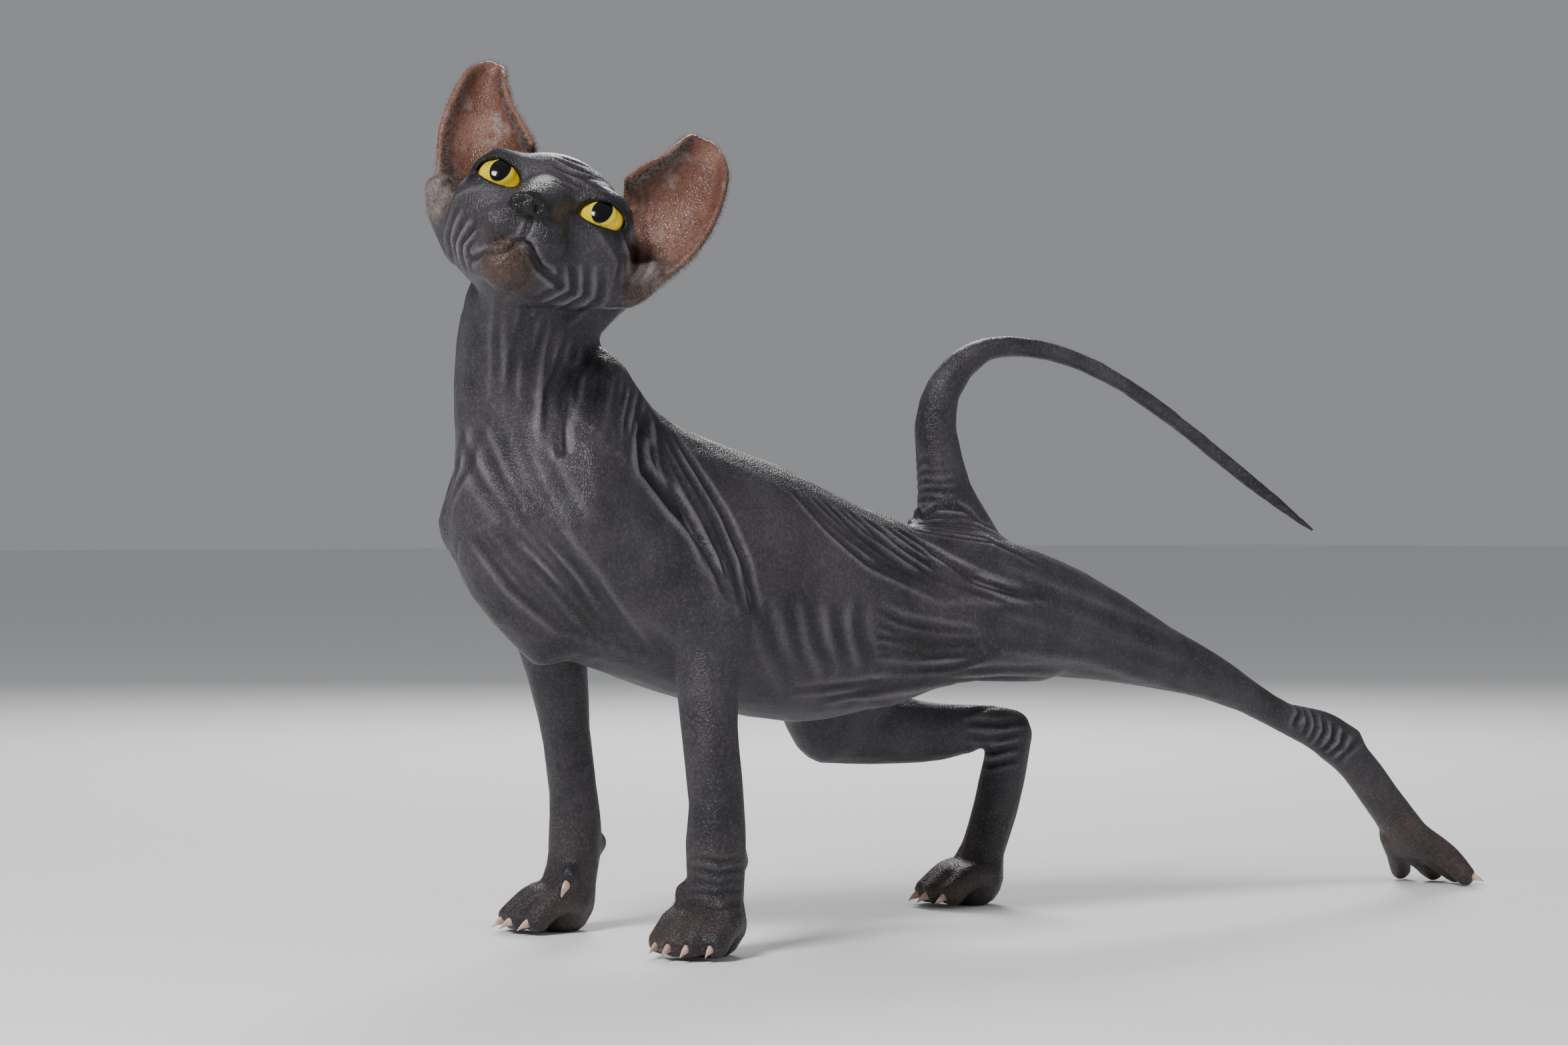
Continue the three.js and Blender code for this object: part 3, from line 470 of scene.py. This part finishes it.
grooves = fold_height(points)
# The groove mask carries painted shade in the folds and a little more roughness. The ridge mask
# carries a painted highlight on the fold ridges.
mask("groove", -grooves)
mask("ridge", grooves / RIDGE_HEIGHT)
EAR_REACH = 1.6 * MM
ear = np.zeros(len(points))
for side in ("left", "right"):
    source = copy_of("ear_" + side, "probe")
    tree = tree_of(source)
    low, high = (np.array(v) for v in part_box("ear_" + side))
    near = np.flatnonzero(((points > low - 2 * MM) & (points < high + 2 * MM)).all(1))
    for i in near:
        found = tree.find_nearest(Vector(points[i]))
        ear[i] = 1 - min(1, found[3] / EAR_REACH)
    bpy.data.objects.remove(source)
ear = fade(ear, 0.05, 0.5)
inward = facing[:, 0] * 0.75 + facing[:, 2] * -0.15 - np.sign(local[:, 1]) * facing[:, 1] * 0.3
cupped = fade(inward, -0.15, 0.35)
mask("ear_inside", ear * cupped)
mask("ear_outside", ear * (1 - cupped))
EYE_RADIUS = 11.4
EYE_FROM_MIDDLE = 21.5
rim = np.zeros(len(points))
for s in (-1, 1):
    away = np.linalg.norm(local - np.array([-EYE_BACK, s * EYE_FROM_MIDDLE, EYE_UP]), axis=1)
    rim = np.maximum(rim, 1 - fade(away, EYE_RADIUS + 2.2, EYE_RADIUS + 4.2))
mask("rim", rim * fade(local[:, 0], 2, 5))
nose = mask("nose", blob((32, 0, -15), (7, 10.5, 6.5), 0.25))
chin = mask("chin", blob((22, 0, -38), (13, 12.5, 9.5), 0.3))
mask("muzzle", blob((24, 0, -23), (15, 22, 11), 0.3))
paw = mask("paw", 1 - fade(points[:, 2], 0.018, 0.07))
ear_edge = mask("ear_edge", ear * fade(1 - np.abs(facing[:, 0]), 0.3, 0.8))
POUCH = (13, 11, 14)
pouch = mask("pouch", np.maximum(blob((-14, 46, -6), POUCH), blob((-14, -46, -6), POUCH)))
print("masks done")

# %% [markdown]
# Shader maths reads best as sums and products. This small class wraps a socket, so that a + b adds
# a Math node, and node() makes any other one.


# %% Shader maths
class Wire:
    def __init__(self, tree, socket):
        self.tree, self.socket = tree, socket

    def maths(self, operation, other, turned=False):
        made = self.tree.nodes.new("ShaderNodeMath")
        made.operation = operation
        first, second = (other, self) if turned else (self, other)
        for place, value in ((0, first), (1, second)):
            plug(self.tree, made.inputs[place], value)
        return Wire(self.tree, made.outputs[0])

    def __add__(self, other):
        return self.maths("ADD", other)

    def __sub__(self, other):
        return self.maths("SUBTRACT", other)

    def __mul__(self, other):
        return self.maths("MULTIPLY", other)

    def __truediv__(self, other):
        return self.maths("DIVIDE", other)

    def __pow__(self, other):
        return self.maths("POWER", other)

    def __rsub__(self, other):
        return self.maths("SUBTRACT", other, True)

    __radd__ = __add__
    __rmul__ = __mul__

    def clamped(self):
        low = self.maths("MAXIMUM", 0.0)
        return low.maths("MINIMUM", 1.0)


def plug(tree, socket, value):
    if isinstance(value, Wire):
        tree.links.new(value.socket, socket)
    elif hasattr(value, "__len__") and len(value) == 3 and socket.type == "RGBA":
        socket.default_value = (*value, 1)
    else:
        socket.default_value = value


class Shader:
    def __init__(self, name):
        self.material = bpy.data.materials.new(name)
        self.material.use_nodes = True
        self.tree = self.material.node_tree
        self.surface = self.tree.nodes["Principled BSDF"]

    def node(self, kind, settings=None, out=0, **sockets):
        made = self.tree.nodes.new("ShaderNode" + kind)
        for key, value in (settings or {}).items():
            setattr(made, key, value)
        for key, value in sockets.items():
            plug(self.tree, made.inputs[key.replace("_", " ")], value)
        return Wire(self.tree, made.outputs[out])

    def place(self):
        return self.node("TexCoord", out="Object")

    def mask(self, name):
        return self.node("Attribute", {"attribute_name": name}, out="Fac")

    def noise(self, scale, detail=3.0, roughness=0.55):
        grain = {"Scale": scale, "Detail": detail, "Roughness": roughness}
        return self.node("TexNoise", Vector=self.place(), **grain)

    def mix(self, amount, a, b):
        made = self.tree.nodes.new("ShaderNodeMix")
        made.data_type = "RGBA"
        plug(self.tree, made.inputs[0], amount)
        plug(self.tree, made.inputs[6], a)
        plug(self.tree, made.inputs[7], b)
        return Wire(self.tree, made.outputs[2])

    def finish(self, **sockets):
        for key, value in sockets.items():
            plug(self.tree, self.surface.inputs[key.replace("_", " ")], value)
        return self.material


def give(o, material):
    o.data.materials.clear()
    o.data.materials.append(material)


print("shader maths ready")


# %% [markdown]
# Bare skin is satin: slate grey with a violet cast and mottled. Its ridges get a paler painted
# highlight and its grooves a near black painted shade. The fine lattice of creases and the pebbled
# skin of chin and muzzle are too small to model, so two cell patterns feed a Bump node.

# %% Skin finish
SLATE = (0.052, 0.047, 0.057)
SOOT = (0.018, 0.016, 0.019)
BLACK = (0.006, 0.005, 0.005)
TAUPE = (0.088, 0.073, 0.078)
ASH = (0.23, 0.21, 0.24)
UMBER = (0.070, 0.038, 0.026)
ROSE = (0.22, 0.105, 0.075)
RUST = (0.13, 0.050, 0.030)
PALE = (0.30, 0.25, 0.23)
hide = Shader("bare skin")
mottle = hide.noise(38.0, 5.0, 0.6)
patches = hide.noise(14.0, 4.0, 0.65)
nap = hide.noise(700.0, 2.0, 0.7)
colour = hide.mix(((mottle - 0.36) * 3.2).clamped(), SOOT, SLATE)
colour = hide.mix(((patches - 0.5) * 3.0).clamped() * 0.6, colour, TAUPE)
# Painted highlight: the fold ridges are made paler, as if light catches them.
colour = hide.mix(hide.mask("ridge") * 0.5, colour, ASH)
brown_paw = hide.mix(((mottle - 0.4) * 3).clamped(), SOOT, UMBER)
colour = hide.mix(hide.mask("paw") * 0.75, colour, brown_paw)
colour = hide.mix(hide.mask("muzzle") * 0.35, colour, SOOT)
colour = hide.mix(hide.mask("chin") * (patches * 1.6).clamped(), colour, UMBER)
inside = hide.mix(((hide.noise(45.0, 4.0) - 0.40) * 4).clamped(), RUST, ROSE)
inside = hide.mix(((hide.noise(70.0, 3.0) - 0.56) * 6).clamped() * 0.7, inside, PALE)
colour = hide.mix(hide.mask("ear_inside"), colour, inside)
colour = hide.mix(hide.mask("ear_outside") * 0.35, colour, UMBER)
dusty_edge = hide.mix(((nap - 0.45) * 5).clamped(), SOOT, PALE)
colour = hide.mix(hide.mask("ear_edge") * 0.8, colour, dusty_edge)
fuzzy_lump = hide.mix(((mottle - 0.42) * 5).clamped(), UMBER, PALE)
colour = hide.mix(hide.mask("pouch") * 0.7, colour, fuzzy_lump)
colour = hide.mix(((nap - 0.52) * 4).clamped() * 0.2, colour, ASH)
colour = hide.mix(((0.47 - nap) * 5).clamped() * 0.55, colour, SOOT)
# Painted shade: the fold grooves are darkened towards black.
colour = hide.mix(hide.mask("groove") * 0.85, colour, BLACK)
colour = hide.mix(hide.mask("nose") * 0.85, colour, BLACK)
colour = hide.mix(hide.mask("rim"), colour, BLACK)
cells = hide.node("TexVoronoi", {"feature": "DISTANCE_TO_EDGE"}, Vector=hide.place(), Scale=820.0)
creases = (cells * 3.0).clamped()
pebbles = hide.node("TexVoronoi", {"feature": "SMOOTH_F1"}, Vector=hide.place(), Scale=480.0)
bumps = creases * 0.55 + nap * 0.5 + hide.noise(420.0, 3.0) * 0.5
bumps = bumps - pebbles * (hide.mask("chin") + hide.mask("muzzle") * 0.6 + hide.mask("pouch")) * 2.4
relief = hide.node("Bump", Height=bumps, Strength=0.55, Distance=0.0005)
gloss = 0.46 + (mottle - 0.5) * 0.3 + hide.mask("groove") * 0.2
gloss = gloss - hide.mask("nose") * 0.12 - hide.mask("ear_inside") * 0.08
hide.finish(Base_Color=colour, Roughness=gloss, Normal=relief)
hide.surface.inputs["Specular IOR Level"].default_value = 0.3
give(skin, hide.material)
print("skin finish done")

# %% [markdown]
# An eye is a wet ball with a clear bulge at the front. Its own map holds how far each point lies
# from the line of sight, sideways and upwards, so the pupil and the iris are ellipses and rings.

# %% Eyes
GAZE_OUT = 0.06
GAZE_UP = 0.2
BULGE = 0.9 * MM
BULGE_FROM = (0.80, 0.94)


def eye_ball(side, s):
    centre = middle_of("eye_" + side)
    bpy.ops.object.select_all(action="DESELECT")
    bpy.ops.mesh.primitive_uv_sphere_add(
        segments=96, ring_count=64, radius=EYE_RADIUS * MM, location=(0, 0, 0))
    ball = bpy.context.active_object
    ball.name = "eyeball_" + side
    look = (head_forward + head_left * (GAZE_OUT * s) + head_up * GAZE_UP).normalized()
    side_way = head_up.cross(look).normalized()
    top = look.cross(side_way)
    points = points_of(ball)
    unit = points / np.linalg.norm(points, axis=1)[:, None]
    front = unit @ np.array(look)
    bulge = fade(front, *BULGE_FROM) * BULGE
    across, above = unit @ np.array(side_way), unit @ np.array(top)
    put_points(ball, points + unit * bulge[:, None] + np.array(centre))
    sight = ball.data.uv_layers.new(name="Sight")
    corner = np.empty(len(ball.data.loops), dtype=np.int64)
    ball.data.loops.foreach_get("vertex_index", corner)
    flat = np.stack([across, above], axis=1) * 0.5 + 0.5
    hidden = front < 0
    flat[hidden] = flat[hidden] * 0 + 0.02
    sight.data.foreach_set("uv", flat[corner].ravel())
    select_only(ball)
    bpy.ops.object.shade_smooth()
    return ball


PUPIL = (0.33, 0.47)
IRIS_EDGE = 0.80
wet = Shader("wet eye")
sight = wet.node("UVMap", {"uv_map": "Sight"})
u = (wet.node("SeparateXYZ", out=0, Vector=sight) - 0.5) * 2
v = (wet.node("SeparateXYZ", out=1, Vector=sight) - 0.5) * 2
from_middle = (u * u + v * v) ** 0.5
pupil_reach = ((u / PUPIL[0]) * (u / PUPIL[0]) + (v / PUPIL[1]) * (v / PUPIL[1])) ** 0.5
turn = v.maths("ARCTAN2", u)
spoke_place = wet.node("CombineXYZ", X=turn * 6.0, Y=from_middle * 3.0)
spokes = wet.node("TexNoise", {"noise_dimensions": "2D"}, Vector=spoke_place, Scale=2.2, Detail=4.0)
GOLD = (0.88, 0.60, 0.008)
LIME = (0.58, 0.56, 0.02)
BRONZE = (0.42, 0.19, 0.01)
IRIS_RIM = (0.05, 0.025, 0.006)
WHITE = (0.10, 0.07, 0.06)
PUPIL_BLACK = (0.002, 0.002, 0.002)
iris = wet.mix(((from_middle - 0.28) * 3.2).clamped(), LIME, GOLD)
iris = wet.mix(((spokes - 0.5) * 2.6).clamped() * 0.55, iris, BRONZE)
iris = wet.mix(((from_middle - IRIS_EDGE + 0.06) * 16).clamped(), iris, IRIS_RIM)
iris = wet.mix(((from_middle - IRIS_EDGE - 0.02) * 22).clamped(), iris, WHITE)
iris = wet.mix((1 - (pupil_reach - 0.96) * 14).clamped(), iris, PUPIL_BLACK)
wet.finish(Base_Color=iris, Roughness=0.16, Coat_Weight=1.0)
wet.surface.inputs["Coat Roughness"].default_value = 0.02
wet.surface.inputs["Coat IOR"].default_value = 1.34
wet.surface.inputs["Specular IOR Level"].default_value = 0.15
for side, s_side in (("left", 1), ("right", -1)):
    ball = eye_ball(side, s_side)
    give(ball, wet.material)
    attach(ball, "root")
    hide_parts("eye_" + side)
print("eyes done")

# %% [markdown]
# Claws are horn: ivory mottled with pink. Each is the solid's own bent cone, rounded by two levels
# of subdivision, which was chosen over new cones because the place and the bend are then right.

# %% Claws
horn = Shader("claw horn")
grain = horn.noise(300.0, 3.0)
PINK_HORN = (0.50, 0.30, 0.24)
IVORY_HORN = (0.72, 0.58, 0.47)
horn_colour = horn.mix(((grain - 0.4) * 3).clamped(), PINK_HORN, IVORY_HORN)
horn.finish(Base_Color=horn_colour, Roughness=0.3)
claws = [n for n in nodes if "claw" in n]
for n in claws:
    claw = copy_of(n, "horn_" + n)
    merge_doubles(claw)
    modified(claw, "SUBSURF", levels=2, render_levels=2)
    select_only(claw)
    bpy.ops.object.shade_smooth()
    give(claw, horn.material)
    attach(claw, "root")
    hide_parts(n)
print("claws", len(claws))

# %% [markdown]
# The coat is a down so short that most of it only dulls the skin. It breaks the outline on the
# rims of the ears, the bridge of the nose, the chin, the paws and the tail, so most hairs are
# there. Each hair is a thin three-sided spike. All hairs are one mesh, and each has a small patch
# on its OFBake map, at its root's place on a side view of the cat.

# %% Down
HAIRS = 42000
triangles = np.empty(len(skin.data.polygons) * 3, dtype=np.int64)
skin.data.polygons.foreach_get("vertices", triangles)
triangles = triangles.reshape(-1, 3)
corners = points[triangles]
crossed = np.cross(corners[:, 1] - corners[:, 0], corners[:, 2] - corners[:, 0])
area = np.linalg.norm(crossed, axis=1) / 2
edge_of_ear = np.maximum(ear_edge, pouch * 0.7)
bridge = blob((14, 0, 2), (18, 12, 12), 0.5)
tail = fade(points[:, 0], 0.0, 0.01) * fade(points[:, 2], 0.19, 0.21)
density = 0.05 + 3.2 * edge_of_ear + 1.4 * ear + 0.5 * bridge + 0.8 * chin + 1.0 * paw + 0.45 * tail
density *= 1 - np.maximum(rim, nose)
length = (0.7 + 1.5 * edge_of_ear + 0.5 * ear + 0.25 * paw + 0.4 * chin + 0.2 * tail) * MM
weight = area * density[triangles].mean(1)
chosen = rng.choice(len(triangles), HAIRS, p=weight / weight.sum())
w = rng.dirichlet((1, 1, 1), HAIRS)
root = (corners[chosen] * w[..., None]).sum(1)
out = (normals[triangles[chosen]] * w[..., None]).sum(1)
out /= np.linalg.norm(out, axis=1)[:, None]
long = (length[triangles[chosen]] * w).sum(1) * rng.uniform(0.5, 1.25, HAIRS)
lie = np.where(in_head(root)[:, 2:3] > 15, np.array(head_up)[None], np.array([[0.6, 0, -0.8]]))
drift = lie + rng.normal(0, 0.45, (HAIRS, 3))
side_a = np.cross(out, drift)
side_a /= np.linalg.norm(side_a, axis=1)[:, None] + 1e-9
side_b = np.cross(out, side_a)
lean = drift - out * (drift * out).sum(1)[:, None]
lean /= np.linalg.norm(lean, axis=1)[:, None] + 1e-9
tip = root + (out * 0.75 + lean * 0.65) * long[:, None]
HAIR_THICK = 0.05 * MM
HAIR_SUNK = 0.1
THIRDS = (0, 2.094, 4.189)
foot = root - out * HAIR_SUNK * MM
ring = [foot + HAIR_THICK * (math.cos(a) * side_a + math.sin(a) * side_b) for a in THIRDS]
vertices = np.stack([*ring, tip], axis=1).reshape(-1, 3)
vertices[:, 2] = np.maximum(vertices[:, 2], 0)
base = np.arange(HAIRS)[:, None, None] * 4
pattern = np.array([[0, 1, 3], [1, 2, 3], [2, 0, 3], [0, 2, 1]])
faces = (base + pattern[None]).reshape(-1, 3)
mesh = bpy.data.meshes.new("down")
mesh.from_pydata(vertices.tolist(), [], faces.tolist())
down = bpy.data.objects.new("down", mesh)
bpy.context.scene.collection.objects.link(down)
low, high = points.min(0), points.max(0)
flat_u = (root[:, 0] - low[0]) / (high[0] - low[0]) * 0.47 + 0.01 + 0.5 * (out[:, 1] > 0)
flat_v = (root[:, 2] - low[2]) / (high[2] - low[2]) * 0.96 + 0.02
PATCH_HALF = 0.0015
patch = np.array([[-1, -1], [1, -1], [0, 1]]) * PATCH_HALF
uv = np.stack([flat_u, flat_v], axis=1)[:, None, None] + patch[None, None]
layer = mesh.uv_layers.new(name="OFBake")
layer.data.foreach_set("uv", np.broadcast_to(uv, (HAIRS, 4, 3, 2)).ravel())
fuzz = Shader("pale down")
tint = fuzz.noise(40.0, 2.0)
DARK_DOWN = (0.10, 0.075, 0.065)
PALE_DOWN = (0.33, 0.27, 0.24)
fuzz.finish(Base_Color=fuzz.mix(((tint - 0.4) * 3).clamped(), DARK_DOWN, PALE_DOWN), Roughness=0.6)
give(down, fuzz.material)
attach(down, "root")
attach(skin, "root")
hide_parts(*flesh)
print("hairs", HAIRS)

# %% [markdown]
# A wide pale floor, one large soft key from the left, a weaker fill from the right and a light
# from behind that draws the down and the folds. The lamps reach only the near part of the floor,
# so its far part is a grey band below the horizon. A curved wall would hide it, but it throws so
# much light back that the dark skin turns pale.

# %% Studio
bpy.ops.object.select_all(action="DESELECT")
bpy.ops.mesh.primitive_plane_add(size=40, location=(0, 0, 0))
floor = bpy.context.active_object
floor.name = "floor"
paper = Shader("floor paper")
grit = paper.noise(160.0, 2.0)
paper.finish(Base_Color=paper.mix(grit, (0.87, 0.865, 0.86), (0.90, 0.895, 0.89)), Roughness=0.9)
paper.surface.inputs["Specular IOR Level"].default_value = 0.1
give(floor, paper.material)


def lamp(name, place, aim, watts, size):
    light = bpy.data.lights.new(name, "AREA")
    light.energy, light.size = watts, size
    made = bpy.data.objects.new(name, light)
    made.location = place
    made.rotation_euler = (Vector(aim) - Vector(place)).to_track_quat("-Z", "Y").to_euler()
    bpy.context.scene.collection.objects.link(made)
    print("lamp", name, watts, "W")


lamp("key", (-1.4, -0.5, 1.4), (-0.05, 0, 0.18), 36, 0.5)
lamp("fill", (0.9, -1.6, 0.9), (0, 0, 0.15), 4, 1.2)
lamp("edge", (0.9, 1.3, 1.3), (0, 0, 0.2), 26, 0.6)
world = bpy.data.worlds.new("studio air")
world.use_nodes = True
world.node_tree.nodes["Background"].inputs["Color"].default_value = (0.80, 0.82, 0.85, 1)
world.node_tree.nodes["Background"].inputs["Strength"].default_value = 0.34
bpy.context.scene.world = world

# %% [markdown]
# The camera is the one that placed the folds: it looks level, along the same heading, and has
# neither shift nor depth of field.

# %% Camera
camera = bpy.data.objects.new("camera", bpy.data.cameras.new("camera"))
camera.data.lens = LENS
camera.data.sensor_width = SENSOR
camera.location = CAMERA_AT
camera.rotation_euler = ahead.to_track_quat("-Z", "Y").to_euler()
bpy.context.scene.collection.objects.link(camera)
bpy.context.scene.camera = camera
print("camera set")
